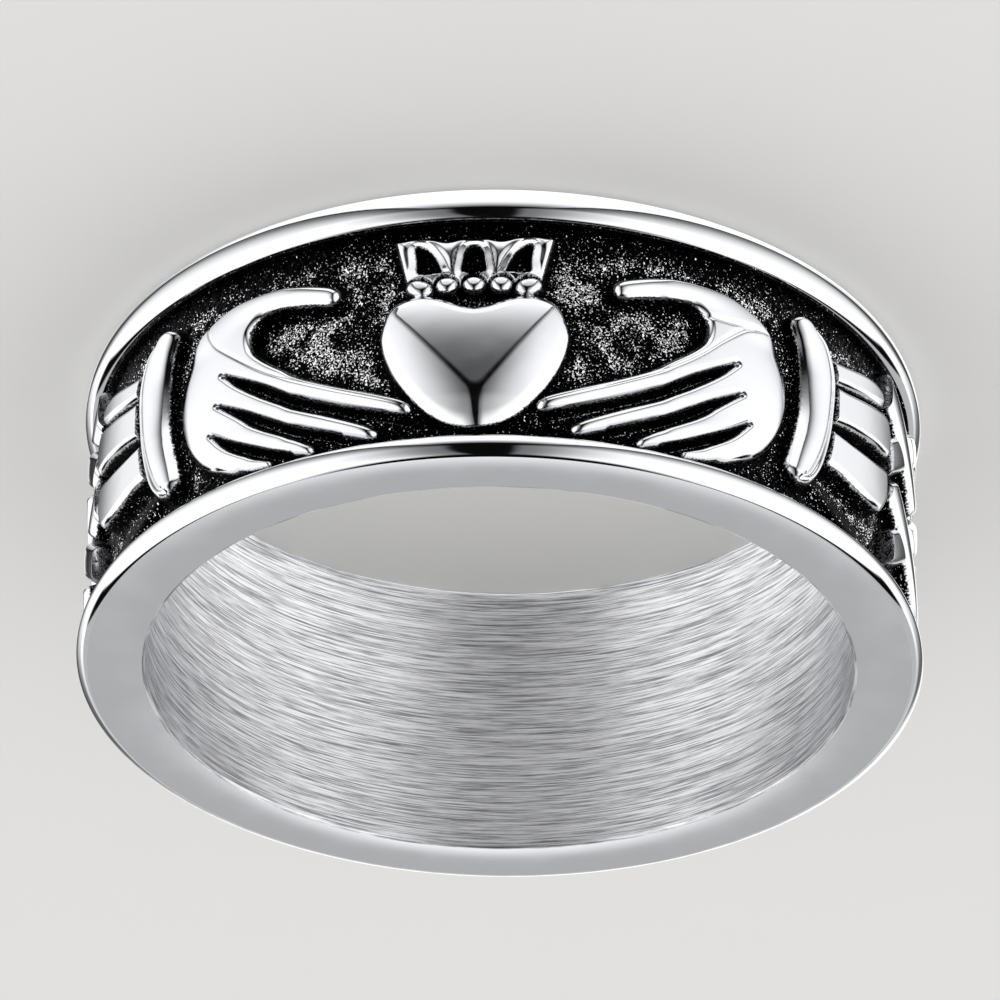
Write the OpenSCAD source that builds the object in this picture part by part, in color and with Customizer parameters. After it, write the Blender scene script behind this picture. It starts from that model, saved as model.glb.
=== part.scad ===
// Claddagh ring, cast in one piece: a band with two rims, and a relief in the channel between them.
// The ring lies on its side: its axis is Z and it rests on the face at z = 0.
// The heart is at -Y, with its crown toward the floor and its tip toward the upper face.
// A place in the relief is [x, y]: x runs along the band from the heart, y across the band toward
// the crown. A height is measured from the floor of the channel.

/* [Band] */
// Bore across
bore_d = 18.5; // [15:0.1:23]
// Width of the band from face to face
band_w = 8; // [7:0.1:10]
// Wall at the rims
wall = 1.8; // [1.5:0.05:2.4]
// Width of the rim on the crown's side
crown_rim_w = 0.86; // [0.6:0.02:1]
// Width of the rim on the side of the heart's tip
tip_rim_w = 0.62; // [0.5:0.02:0.9]
// Depth of the channel between the rims
channel_d = 0.6; // [0.4:0.05:0.8]
// Rounding of the rims toward the faces, measured across the wall
shoulder_t = 0.29; // [0.1:0.01:0.4]
// The same rounding of the crown's rim, measured along the axis
crown_shoulder_w = 0.66; // [0.1:0.02:0.7]
// The same rounding of the other rim, measured along the axis
tip_shoulder_w = 0.24; // [0.1:0.02:0.48]
// Rounding of the rims toward the channel, measured across the wall
rim_t = 0.3; // [0.1:0.02:0.38]
// Bevel at both ends of the bore
bore_bevel = 0.08; // [0.04:0.02:0.2]

/* [Heart] */
// Heart across its lobes
heart_w = 4.8; // [3.6:0.1:5.2]
// Heart from its lobes to its tip
heart_l = 3.85; // [3:0.05:4]
// Place of the lobes' tops across the band
heart_top = 0.84; // [0.4:0.02:1]
// Height of the heart where its ridges meet
heart_h = 0.6; // [0.45:0.02:0.7]

/* [Crown] */
// Crown across its top
crown_w = 4.1; // [3:0.1:4.6]
// Crown across its foot
crown_foot_w = 3.5; // [2.6:0.1:4]
// Foot of the crown across the band
crown_foot = 1.12; // [1.1:0.02:1.3]
// Height of the crown across the band
crown_l = 1.5; // [1.2:0.02:1.6]
// Height of the crown above the floor
crown_h = 0.48; // [0.3:0.02:0.55]
// Bead across
bead_d = 0.52; // [0.4:0.02:0.6]

/* [Hands] */
// Tip of the index finger from the heart's middle
hand_x = 1.55; // [1.4:0.05:1.8]
// Hand from the index finger's tip to its back
hand_l = 7.2; // [6.5:0.05:7.5]
// Height of the palm
palm_h = 0.56; // [0.4:0.02:0.65]
// Height of the fingers
finger_h = 0.46; // [0.3:0.02:0.55]

/* [Cuffs and sleeves] */
// Middle of a cuff from the heart's middle
cuff_x = 9.95; // [9.6:0.05:10.2]
// Middle of a cuff across the band
cuff_y = -0.2; // [-0.4:0.05:0.2]
// Cuff across
cuff_w = 1.3; // [0.8:0.05:1.4]
// Length of a cuff across the band
cuff_l = 4.7; // [3.6:0.1:5]
// Height of a cuff
cuff_h = 0.56; // [0.4:0.02:0.65]
// Sleeve from the middle of its cuff to its end
sleeve_l = 3.5; // [2.8:0.1:3.6]
// Height of the pleats
pleat_h = 0.42; // [0.3:0.02:0.55]

/* [Plait] */
// Start of the plait from the heart's middle
plait_x = 13.75; // [13.6:0.05:15]
// Longest step from crossing to crossing along the middle of the plait
plait_step = 4.4; // [3.6:0.1:5]
// Strand across
strand_w = 0.92; // [0.7:0.02:1]
// Gap beside a strand where another dives under it
strand_gap = 0.2; // [0.1:0.02:0.3]
// Height of the strands
strand_h = 0.46; // [0.3:0.02:0.55]
// Room between the plait and each rim
plait_room = 0.38; // [0.2:0.02:0.6]

/* [Hidden] */
$fn = 96;
// How far every raised form reaches down into the band
root = 0.2;
// How far a cut runs past what it cuts
past = 1;
// Turn from point to point on a rounded rim
rim_turn = 15;
bore_r = bore_d / 2;
outer_r = bore_r + wall;
floor_r = outer_r - channel_d;
// Arc lengths of the relief are measured at this radius
relief_r = outer_r - channel_d / 4;
// From the middle of the band to the rim on the side of the heart's tip
half_w = band_w / 2 - tip_rim_w;
round_length = 2 * PI * relief_r;
steel = "silver";

// Section of a rounded bar, left to right: share of its half width, share of its height
round_section = [[-1, 0.4], [-0.88, 0.76], [-0.5, 0.96], [0, 1], [0.5, 0.96], [0.88, 0.76], [1, 0.4]];
// Section of the palm
palm_section = [[-1, 0.5], [-0.9, 0.74], [-0.6, 0.88], [-0.2, 0.98], [0.1, 1], [0.45, 0.96],
    [0.72, 0.84], [0.9, 0.64], [1, 0.35]];
// Section of a flat-topped bar
flat_section = [[-1, 0.72], [-0.8, 1], [0.8, 1], [1, 0.72]];
// Steps along a bent bar
bar_steps = 8;
// Turns of a bar's rounded tip, and the share of the bar's height that is left at its point
tip_turns = [35, 62, 80];
tip_height = 0.6;

// Right half of the heart's outline from the dip to the tip. Columns: share of half the width, share
// of the length, height of the face's edge as a share of heart_h. The ridge starts where it is highest.
heart_half = [[0, -0.105, 0.74], [0.15, -0.08, 0.74], [0.33, -0.03, 0.73], [0.52, 0, 0.74],
    [0.68, -0.01, 0.78], [0.84, -0.055, 0.86], [0.94, -0.14, 0.76], [1, -0.27, 0.68], [0.985, -0.38, 0.66],
    [0.93, -0.49, 0.65], [0.84, -0.61, 0.65], [0.7, -0.74, 0.66], [0.53, -0.86, 0.68], [0.33, -0.95, 0.72],
    [0.14, -0.99, 0.8], [0, -1, 0.88]];
// Where the heart's three ridges meet, as a share of its length below the lobes
heart_peak = 0.77;
// Share of a mound's edge that its wall rises to, and the shares of the way from its edge to its
// middle where its bevel ends and its face has stations
mound_wall = 0.75;
mound_steps = [0.07, 0.35, 0.7];

// Top edge of the crown, right half: share of half its top, share of its length
crown_top = [[1, 0.97], [0.7, 1], [0.34, 0.9], [0, 0.95]];
// Right opening of the crown: share of half its top, share of its length
crown_gap = [[0.38, 0.2], [0.7, 0.2], [0.77, 0.8], [0.68, 0.84], [0.52, 0.72], [0.41, 0.48]];
// Middle opening of the crown: half its width as a share of half the top, its foot and its top
crown_arch = [0.16, 0.2, 0.83];
bead_count = 5;

// Fingers from the index to the little one. Places are shares of hand_l from the index finger's tip,
// and of half the channel. Columns: root x, root y, bend x, bend y, tip x, tip y,
// half width at the root and at the tip as shares of half the channel.
fingers = [
    [0.76, 0.12, 0.49, -0.43, 0.03, -0.695, 0.1, 0.07],
    [0.82, -0.14, 0.48, -0.665, 0.13, -0.89, 0.105, 0.085],
    [0.84, -0.41, 0.63, -0.70, 0.38, -0.93, 0.1, 0.075],
    [0.83, -0.66, 0.69, -0.86, 0.55, -0.95, 0.095, 0.055],
];
// The thumb, in the same columns
thumb = [0.79, 0.40, 0.59, 0.60, 0.315, 0.40, 0.12, 0.075];
// The palm from the thumb to the little finger. Columns: share of half the channel, inner side and
// back as shares of hand_l, height as a share of palm_h.
palm = [
    [0.57, 0.73, 0.85, 0.6],
    [0.52, 0.70, 0.90, 0.8],
    [0.36, 0.66, 0.955, 0.95],
    [0.16, 0.65, 0.99, 1],
    [0.0, 0.66, 1.0, 1],
    [-0.2, 0.71, 0.99, 1],
    [-0.4, 0.74, 0.955, 1],
    [-0.6, 0.75, 0.89, 0.95],
    [-0.76, 0.73, 0.82, 0.85],
    [-0.88, 0.70, 0.76, 0.65],
];

// Bow of a cuff away from its hand, as a share of its length
cuff_bow = 0.14;
// Pleats of a sleeve: start x and end x as shares of sleeve_l from the middle of the cuff,
// start y, end y, half width at the start and at the end as shares of half the channel
pleats = [
    [0.12, 0.92, 0.36, 0.53, 0.08, 0.085],
    [0.12, 1.0, 0.06, 0.22, 0.14, 0.17],
    [0.08, 0.98, -0.34, -0.30, 0.14, 0.19],
    [0.02, 0.62, -0.66, -0.85, 0.09, 0.09],
];
// Stations of a pleat as shares of its length, and how much of its width its end keeps
pleat_stations = [0, 0.35, 0.7, 0.93, 1];
pleat_end = 0.75;

// The plait: its strands swing about the middle of the band as rounded zigzags, four to a wave.
strand_count = 4;
// The first crossing lies this far under the end of the sleeve
plait_lead = 0.5;
plait_first = plait_x - plait_lead;
plait_steps = ceil((round_length - 2 * plait_first) / plait_step);
plait_pitch = (round_length - 2 * plait_first) / plait_steps;
// Where a strand dives under another, in degrees of its wave
dives = [-45, 45, 180, 315];
// Longest step from station to station along a strand
strand_step = 0.85;
// How sharp the turns of the zigzag are, from 0, a sine, to 1, a point
wave_turn = 0.985;
// Swing of a strand from the middle of the band
strand_swing = half_w - strand_w / 2 - plait_room;
// Slope of a strand where it crosses the middle, and the skew of a cut along another strand
strand_slope = strand_swing * wave_turn / asin(wave_turn) * 90 / plait_pitch;
strand_skew = (1 - strand_slope * strand_slope) / (2 * strand_slope);
// Length along the band that a strand loses where it dives
dive = (strand_w / 2 + strand_gap) / (2 * sin(atan(strand_slope)));

function place(x, y, h) =
    let (a = x / relief_r * 180 / PI, r = floor_r + h)
    [-r * sin(a), -r * cos(a), band_w / 2 - y];
function mix(a, b, t) = a + (b - a) * t;
function bend(a, b, c, t) = mix(mix(a, b, t), mix(b, c, t), t);
function side_of(stations, i) =
    let (last = len(stations) - 1,
         a = stations[max(i - 1, 0)], b = stations[min(i + 1, last)],
         d = [b[0] - a[0], b[1] - a[1]])
    [-d[1], d[0]] / norm(d);

// Triangles of a tube of rings, each of m points, with both ends closed
function tube_faces(rings, m) = concat(
    [for (i = [0 : rings - 2]) for (j = [0 : m - 1])
        let (a = i * m + j, b = i * m + (j + 1) % m)
        each [[a, b, b + m], [a, b + m, a + m]]],
    [for (j = [1 : m - 2]) [0, j + 1, j]],
    [for (j = [1 : m - 2]) let (e = (rings - 1) * m) [e, e + j, e + j + 1]]);

// A raised bar along stations of [x, y, half width, height, skew]. The skew leans a station's
// section along the bar, as a share of its half width, and may be left out.
module bar(stations, section) {
    feet = concat([[-1, undef]], section, [[1, undef]]);
    points = [for (i = [0 : len(stations) - 1])
        let (s = stations[i],
             out = side_of(stations, i),
             side = (out + [out[1], -out[0]] * (s[4] == undef ? 0 : s[4])) * s[2])
        for (p = feet)
            place(s[0] + side[0] * p[0], s[1] + side[1] * p[0], p[1] == undef ? -root : p[1] * s[3])];
    polyhedron(points, tube_faces(len(stations), len(feet)), convexity = 4);
}

// Stations that round off a bar's end at c, going on in the direction d
function tip_stations(c, d, w, h) =
    [for (turn = tip_turns) let (p = c + d / norm(d) * w * sin(turn))
        [p[0], p[1], w * cos(turn), h * mix(tip_height, 1, cos(turn))]];
function bend_stations(a, b, c, w0, w1, h) =
    [for (i = [0 : bar_steps]) let (t = i / bar_steps, p = bend(a, b, c, t))
        [p[0], p[1], mix(w0, w1, t), h]];
// A bar along a bent line, with a rounded tip
function finger_stations(a, b, c, w0, w1, h) =
    concat(bend_stations(a, b, c, w0, w1, h), tip_stations(c, c - b, w1, h));
// The same, rounded at both ends
function bar_stations(a, b, c, w0, w1, h) =
    let (start = tip_stations(a, a - b, w0, h))
    concat([for (i = [len(start) - 1 : -1 : 0]) start[i]], finger_stations(a, b, c, w0, w1, h));

// A raised form over an outline of [x, y, height] that can all be seen from its middle. Its wall
// rises by the outline, and its face runs straight from the bevelled edge to the middle.
module mound(outline, middle) {
    n = len(outline);
    rings = concat(
        [[for (p = outline) place(p[0], p[1], -root)]],
        [[for (p = outline) place(p[0], p[1], p[2] * mound_wall)]],
        [for (share = mound_steps) [for (p = outline)
            let (q = mix(p, middle, share)) place(q[0], q[1], q[2])]]);
    last = 1 + len(rings) * n;
    points = concat([place(middle[0], middle[1], -root)], [for (r = rings) each r],
        [place(middle[0], middle[1], middle[2])]);
    faces = concat(
        [for (i = [0 : n - 1]) [0, 1 + (i + 1) % n, 1 + i]],
        [for (k = [0 : len(rings) - 2]) for (i = [0 : n - 1])
            let (a = 1 + k * n + i, b = 1 + k * n + (i + 1) % n)
            each [[a, b, b + n], [a, b + n, a + n]]],
        [for (i = [0 : n - 1]) [last - n + i, last - n + (i + 1) % n, last]]);
    polyhedron(points, faces, convexity = 4);
}

// Half of the band's section, from its lower face to its middle. The rim is rounded from the face
// over its shoulder up to its top, and on down toward the channel.
module half_section(rim_w, shoulder_w) {
    shoulder = [for (turn = [0 : rim_turn : 90])
        [outer_r - shoulder_t * (1 - sin(turn)), shoulder_w * (1 - cos(turn))]];
    rounding = [for (turn = [rim_turn : rim_turn : 90])
        [outer_r - rim_t * (1 - cos(turn)), mix(shoulder_w, rim_w, sin(turn))]];
    polygon(concat([[bore_r, band_w / 2], [bore_r, bore_bevel], [bore_r + bore_bevel, 0]], shoulder,
        rounding, [[floor_r, rim_w], [floor_r, band_w / 2]]));
}

module band() {
    rotate_extrude() {
        half_section(crown_rim_w, crown_shoulder_w);
        translate([0, band_w]) mirror([0, 1]) half_section(tip_rim_w, tip_shoulder_w);
    }
}

module heart() {
    last = len(heart_half) - 1;
    right = [for (p = heart_half) [p[0] * heart_w / 2, heart_top + p[1] * heart_l, p[2] * heart_h]];
    left = [for (i = [last - 1 : -1 : 1]) [-right[i][0], right[i][1], right[i][2]]];
    mound(concat(right, left), [0, heart_top - heart_peak * heart_l, heart_h]);
}

module hand() {
    function spot(x, y) = [hand_x + x * hand_l, y * half_w];
    for (f = concat(fingers, [thumb]))
        bar(finger_stations(spot(f[0], f[1]), spot(f[2], f[3]), spot(f[4], f[5]),
            f[6] * half_w, f[7] * half_w, finger_h), round_section);
    bar([for (p = palm)
        let (from = spot(p[1], p[0]), to = spot(p[2], p[0]))
        [(from[0] + to[0]) / 2, from[1], (to[0] - from[0]) / 2, p[3] * palm_h]], palm_section);
}

module crown_outline() {
    half = crown_w / 2;
    right = [for (p = crown_top) [p[0] * half, p[1] * crown_l]];
    left = [for (i = [len(right) - 2 : -1 : 0]) [-right[i][0], right[i][1]]];
    difference() {
        polygon(concat([[-crown_foot_w / 2, 0], [crown_foot_w / 2, 0]], right, left));
        for (side = [-1, 1])
            polygon([for (p = crown_gap) [side * p[0] * half, p[1] * crown_l]]);
        arch_r = crown_arch[0] * half;
        arch_top = crown_arch[2] * crown_l - arch_r;
        translate([-arch_r, crown_arch[1] * crown_l])
            square([2 * arch_r, arch_top - crown_arch[1] * crown_l]);
        translate([0, arch_top]) circle(arch_r);
    }
}

module crown() {
    intersection() {
        translate([0, 0, band_w / 2]) rotate([0, 180, 0]) rotate([90, 0, 0])
            linear_extrude(height = outer_r) translate([0, crown_foot]) crown_outline();
        difference() {
            cylinder(h = band_w, r = floor_r + crown_h);
            translate([0, 0, -past]) cylinder(h = band_w + 2 * past, r = floor_r - root);
        }
    }
    step = (crown_foot_w - bead_d) / (bead_count - 1);
    for (i = [0 : bead_count - 1])
        translate(place((i - (bead_count - 1) / 2) * step, crown_foot, crown_h - bead_d / 2))
            sphere(d = bead_d);
}

module cuff() {
    reach = (cuff_l - cuff_w) / 2;
    top = [cuff_x - cuff_l * cuff_bow, cuff_y + reach];
    bottom = [top[0], cuff_y - reach];
    middle = [cuff_x + cuff_l * cuff_bow, cuff_y];
    bar(bar_stations(top, middle, bottom, cuff_w / 2, cuff_w / 2, cuff_h), round_section);
}

module sleeve() {
    for (p = pleats) {
        from = [cuff_x + p[0] * sleeve_l, p[2] * half_w];
        to = [cuff_x + p[1] * sleeve_l, p[3] * half_w];
        w0 = p[4] * half_w;
        w1 = p[5] * half_w;
        bar([for (t = pleat_stations)
            [mix(from[0], to[0], t), mix(from[1], to[1], t),
             mix(w0, w1, t) * (t == 1 ? pleat_end : 1), pleat_h]], flat_section);
    }
}

// Height of a strand across the band at an angle along its wave
function wave(angle) = strand_swing * asin(wave_turn * sin(angle)) / asin(wave_turn);

// A stretch of one strand that lies on top, between two places where it dives under another
module strand(rise_x, from, to) {
    x0 = rise_x + plait_pitch * from / 90 + dive;
    x1 = rise_x + plait_pitch * to / 90 - dive;
    a = max(x0, plait_x);
    b = min(x1, round_length - plait_x);
    steps = max(2, ceil((b - a) / strand_step));
    if (b - a > strand_w)
        bar([for (i = [0 : steps])
            let (x = mix(a, b, i / steps), angle = (x - rise_x) / plait_pitch * 90,
                 cut = (i == 0 && x0 == a) || (i == steps && x1 == b),
                 rising = cos(angle) > 0 ? 1 : -1)
            [x, wave(angle), strand_w / 2, strand_h, cut ? -rising * strand_skew : 0]], flat_section);
}

module plait() {
    for (k = [1 - strand_count : plait_steps + strand_count - 1], i = [1 : len(dives) - 1])
        strand(plait_first + k * plait_pitch, dives[i - 1], dives[i]);
}

module ring() {
    color(steel) {
        band();
        heart();
        crown();
        for (side = [0, 1]) mirror([side, 0, 0]) {
            hand();
            cuff();
            sleeve();
        }
        plait();
    }
}

ring();
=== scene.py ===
import logging
import math
from dataclasses import dataclass
from enum import Enum
from functools import partial
from typing import Any, Callable, Iterable, Protocol

import bmesh
import bpy
import numpy as np
from mathutils import Matrix, Vector


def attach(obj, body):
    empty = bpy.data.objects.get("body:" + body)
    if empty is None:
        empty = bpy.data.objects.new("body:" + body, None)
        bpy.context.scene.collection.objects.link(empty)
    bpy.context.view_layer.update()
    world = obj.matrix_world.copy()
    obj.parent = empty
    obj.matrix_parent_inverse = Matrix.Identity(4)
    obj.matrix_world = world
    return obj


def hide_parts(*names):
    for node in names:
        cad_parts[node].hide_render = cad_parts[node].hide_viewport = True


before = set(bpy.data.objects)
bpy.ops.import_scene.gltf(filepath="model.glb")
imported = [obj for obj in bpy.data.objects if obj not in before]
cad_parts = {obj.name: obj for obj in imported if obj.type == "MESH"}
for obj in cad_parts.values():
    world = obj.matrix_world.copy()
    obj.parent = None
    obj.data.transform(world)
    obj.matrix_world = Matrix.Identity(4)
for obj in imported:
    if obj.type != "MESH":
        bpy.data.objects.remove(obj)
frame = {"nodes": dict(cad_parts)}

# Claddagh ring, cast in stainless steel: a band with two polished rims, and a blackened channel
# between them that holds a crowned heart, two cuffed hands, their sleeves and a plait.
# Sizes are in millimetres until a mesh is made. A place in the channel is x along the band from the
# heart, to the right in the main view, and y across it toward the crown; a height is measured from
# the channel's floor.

LOG = logging.getLogger("claddagh_ring")
MM = 0.001
NODE = "ring"
BODY = "root"
FAR = 9.0
WITHIN = "within"
# Name of the share at each point that is clear of painted shade; fewer bright grains are drawn where it
# is low
UNSHADED = "open"
# A Map Range node takes its value at 0, the span it is read over at 1 and 2, and what both ends
# become at 3 and 4; a Mix node takes its two sides at 2 and 3, 4 and 5 for vectors, 6 and 7 for colours
EASED = {"interpolation_type": "SMOOTHSTEP"}
Rows = tuple[tuple[float, ...], ...]
Add = Callable[..., bpy.types.Node]


def smooth(t: np.ndarray) -> np.ndarray:
    """Eases a share from 0 to 1.

    Args:
        t: shares; values outside 0 to 1 are clipped.

    Returns:
        The eased shares.
    """
    t = np.clip(t, 0.0, 1.0)
    return t * t * (3.0 - 2.0 * t)


def curve(points: Iterable[tuple[float, ...]], steps: int = 6, closed: bool = False) -> np.ndarray:
    """Runs a smooth curve through rows of numbers, all columns alike.

    Args:
        points: the rows to pass through, x and y first.
        steps: rows made for each span.
        closed: whether the last row leads back to the first.

    Returns:
        The denser rows.
    """
    p = np.asarray(points, float)
    n = len(p)
    t = np.arange(steps)[:, None] / steps
    made = []
    for i in range(n if closed else n - 1):
        if closed:
            a, b, c, d = (p[(i + k) % n] for k in (-1, 0, 1, 2))
        else:
            b, c = p[i], p[i + 1]
            a = p[i - 1] if i else 2 * b - c
            d = p[i + 2] if i + 2 < n else 2 * c - b
        linear = (c - a) * t
        square = (2 * a - 5 * b + 4 * c - d) * t**2
        cube = (3 * b - a - 3 * c + d) * t**3
        made.append(0.5 * (2 * b + linear + square + cube))
    if not closed:
        made.append(p[-1:])
    return np.concatenate(made)


def higher(a: np.ndarray, b: np.ndarray, blend: float) -> np.ndarray:
    """The larger of two heights or distances, rounded where they meet.

    Args:
        a: the first.
        b: the second.
        blend: difference over which they blend.

    Returns:
        The rounded larger value.
    """
    h = np.clip(1.0 - np.abs(a - b) / blend, 0.0, 1.0)
    return np.maximum(a, b) + h * h * blend / 4


def lower(a: np.ndarray, b: np.ndarray, blend: float) -> np.ndarray:
    """The smaller of two heights or distances, rounded where they meet, as in higher()."""
    return -higher(-a, -b, blend)


@dataclass(frozen=True)
class Grid:
    """A regular grid of places in the channel, rolled out flat."""

    x: np.ndarray
    y: np.ndarray

    @property
    def shape(self) -> tuple[int, int]:
        """Rows and columns."""
        return len(self.y), len(self.x)

    def window(self, low: np.ndarray, high: np.ndarray, margin: float) -> tuple[slice, slice]:
        """The part of the grid near a form.

        Args:
            low: the form's lowest x and y.
            high: its highest x and y.
            margin: how far past it to reach.

        Returns:
            Slices over rows and columns.
        """
        rows = np.searchsorted(self.y, (low[1] - margin, high[1] + margin))
        cols = np.searchsorted(self.x, (low[0] - margin, high[0] + margin))
        return slice(*rows), slice(*cols)

    def places(self, part: tuple[slice, slice] | None = None) -> tuple[np.ndarray, np.ndarray]:
        """x and y of the grid's places.

        Args:
            part: rows and columns wanted, or None for all.

        Returns:
            Two arrays of the same shape.
        """
        rows, cols = part or (slice(None), slice(None))
        return np.meshgrid(self.x[cols], self.y[rows])

    def mirrored(self, side: int) -> "Grid":
        """The grid as seen from one side of the heart.

        Args:
            side: 1 as it is, -1 with x turned round.

        Returns:
            A grid whose x still rises.
        """
        return self if side > 0 else Grid(-self.x[::-1], self.y)

    def blur(self, field: np.ndarray, radius: float) -> np.ndarray:
        """Rounds off a field.

        Args:
            field: one value at each place.
            radius: spread of the rounding.

        Returns:
            The rounded field.
        """
        out = field
        for axis, places in ((0, self.y), (1, self.x)):
            sigma = radius / (places[1] - places[0])
            reach = max(1, int(3 * sigma))
            bell = np.exp(-0.5 * (np.arange(-reach, reach + 1) / sigma) ** 2)
            bell /= bell.sum()
            pad = [(0, 0), (0, 0)]
            pad[axis] = (reach, reach)
            wide = np.pad(out, pad, mode="edge")
            size = field.shape[axis]
            out = sum(
                share * np.take(wide, np.arange(k, k + size), axis=axis) for k, share in enumerate(bell)
            )
        return out


@dataclass(frozen=True)
class Reach:
    """How a bar lies under each place of a grid."""

    inside: np.ndarray
    half: np.ndarray
    height: np.ndarray
    across: np.ndarray


@dataclass(frozen=True)
class Bar:
    """A bar along a line whose columns are x, y, half width and height."""

    line: np.ndarray

    def measure(self, grid: Grid, margin: float = 0.6) -> Reach:
        """Measures every place of a grid against the bar.

        Args:
            grid: the places.
            margin: how far past the bar it is measured.

        Returns:
            Distance inside the edge, half width, height, and signed share across, left of the
            line's run positive.
        """
        middle, half_width = self.line[:, :2], self.line[:, 2:3]
        part = grid.window((middle - half_width).min(0), (middle + half_width).max(0), margin)
        x, y = grid.places(part)
        found = [np.full(x.shape, FAR), np.ones(x.shape), np.zeros(x.shape), np.zeros(x.shape)]
        for a, b in zip(self.line[:-1], self.line[1:]):
            run = b[:2] - a[:2]
            size = max(float(run @ run), 1e-9)
            t = np.clip(((x - a[0]) * run[0] + (y - a[1]) * run[1]) / size, 0.0, 1.0)
            off_x = x - a[0] - run[0] * t
            off_y = y - a[1] - run[1] * t
            away = np.hypot(off_x, off_y)
            half = a[2] + (b[2] - a[2]) * t
            near = away - half < found[0]
            side = np.sign(off_y * run[0] - off_x * run[1])
            fresh = (away - half, half, a[3] + (b[3] - a[3]) * t, side * away / half)
            found = [np.where(near, new, old) for new, old in zip(fresh, found)]
        found[0] = -found[0]
        whole = [np.full(grid.shape, value) for value in (-FAR, 1.0, 0.0, FAR)]
        for full, cut in zip(whole, found):
            full[part] = cut
        return Reach(*whole)


def inside(loop: np.ndarray, grid: Grid, margin: float = 0.6) -> np.ndarray:
    """Measures every place of a grid against a closed outline.

    Args:
        loop: the outline's x and y, in order.
        grid: the places.
        margin: how far past the outline it is measured.

    Returns:
        Distance inside the outline, negative outside it.
    """
    part = grid.window(loop.min(0), loop.max(0), margin)
    x, y = grid.places(part)
    away = np.full(x.shape, FAR)
    odd = np.zeros(x.shape, bool)
    for a, b in zip(loop, np.roll(loop, -1, 0)):
        run = b - a
        size = max(float(run @ run), 1e-12)
        t = np.clip(((x - a[0]) * run[0] + (y - a[1]) * run[1]) / size, 0.0, 1.0)
        away = np.minimum(away, np.hypot(x - a[0] - run[0] * t, y - a[1] - run[1] * t))
        if a[1] != b[1]:
            crosses = (a[1] > y) != (b[1] > y)
            odd ^= crosses & (x < run[0] * (y - a[1]) / run[1] + a[0])
    found = np.full(grid.shape, -FAR)
    found[part] = np.where(odd, away, -away)
    return found


class Side(Enum):
    """The two sides of the heart, as seen in the main view."""

    RIGHT = 1
    LEFT = -1


@dataclass(frozen=True)
class Raised:
    """What stands at each place of a grid: its height, and how far inside an outline the place is."""

    height: np.ndarray
    depth: np.ndarray

    def join(self, other: "Raised") -> "Raised":
        """Adds another form; where both stand, the higher one shows."""
        return Raised(np.maximum(self.height, other.height), np.maximum(self.depth, other.depth))

    def back(self, side: Side) -> "Raised":
        """Turns what was made on a mirrored grid back to its own side."""
        return self if side is Side.RIGHT else Raised(self.height[:, ::-1], self.depth[:, ::-1])


@dataclass(frozen=True)
class Edge:
    """How a raised form falls off at its outline."""

    share: float = 0.75
    radius: float = 0.16
    power: float = 2.2
    wall: float = 0.09

    def cast(self, top: np.ndarray, depth: np.ndarray) -> Raised:
        """Stands a form on the channel's floor.

        Args:
            top: height of its upper surface, past its outline too.
            depth: distance inside its outline.

        Returns:
            The form, its height 0 where it isn't.
        """
        s = np.clip(1.0 - depth / self.radius, 0.0, 1.0)
        lip = self.share + (1.0 - self.share) * (1.0 - s**self.power)
        wall = self.share * np.clip(1.0 + depth / self.wall, 0.0, 1.0)
        return Raised(top * np.where(depth > 0, lip, wall), depth)


class Form(Protocol):
    """Something cast in the channel."""

    def cast(self, grid: Grid) -> Raised:
        """Gives the form on a grid."""
        ...


@dataclass(frozen=True)
class Heart:
    """The heart: three faces that meet in ridges, over a rounded outline."""

    width: float = 4.88
    length: float = 3.92
    top: float = 0.87
    height: float = 0.6
    peak: float = 0.78
    peak_aside: float = 0.07
    corner: tuple[float, float] = (0.86, -0.115)
    corner_aside: float = -0.1
    fall_top: float = 0.19
    fall_power: float = 4.2
    fall_side: tuple[float, float] = (0.15, 0.05)
    fall_tip: float = 0.2
    lean: float = 0.03
    ridge: float = 0.016
    spine: float = 0.05
    least: float = 0.05
    edge: Edge = Edge(share=0.7, radius=0.34, power=2.6)
    # Right half of the outline: share of half the width, share of the length below the lobes
    half: Rows = (
        (0, -0.105), (0.15, -0.085), (0.33, -0.035), (0.52, 0), (0.68, -0.008), (0.84, -0.055),
        (0.94, -0.14), (1, -0.27), (0.985, -0.38), (0.93, -0.49), (0.84, -0.61), (0.7, -0.74),
        (0.53, -0.86), (0.33, -0.95), (0.14, -0.992), (0, -1),
    )

    def cast(self, grid: Grid) -> Raised:
        """The form on a grid.

        Args:
            grid: places in the channel.

        Returns:
            The form.
        """
        right = np.array([(a * self.width / 2, self.top + b * self.length) for a, b in self.half])
        left = right[-2:0:-1] * (-1, 1)
        depth = inside(curve(np.concatenate([right, left]), closed=True), grid)
        x, y = grid.places()
        y = y - self.top + self.peak * self.length
        full = self.peak * self.length
        rise = y / full
        top_face = self.height - self.fall_top * np.maximum(rise, 0) ** self.fall_power
        tip = self.fall_tip * np.maximum(-y, 0) ** 2
        sides = []
        for side in (1, -1):
            aside = side * (self.corner_aside - self.peak_aside)
            corner_x = self.corner[0] * self.width / 2 + aside
            run = np.array((corner_x, (self.corner[1] + self.peak) * self.length))
            size = np.hypot(*run)
            run = run / size
            out = side * (x - self.peak_aside)
            along = out * run[0] + y * run[1]
            off = out * run[1] - y * run[0]
            climb = np.maximum(along, 0) * run[1] / full
            crest = self.height - self.fall_top * climb**self.fall_power
            slope, curl = self.fall_side
            sides.append(crest - slope * off - curl * np.maximum(off, 0) ** 2 - tip)
        roof = lower(top_face, lower(*sides, self.spine), self.ridge) - self.lean * x
        return self.edge.cast(np.maximum(roof, self.least), depth)


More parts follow.
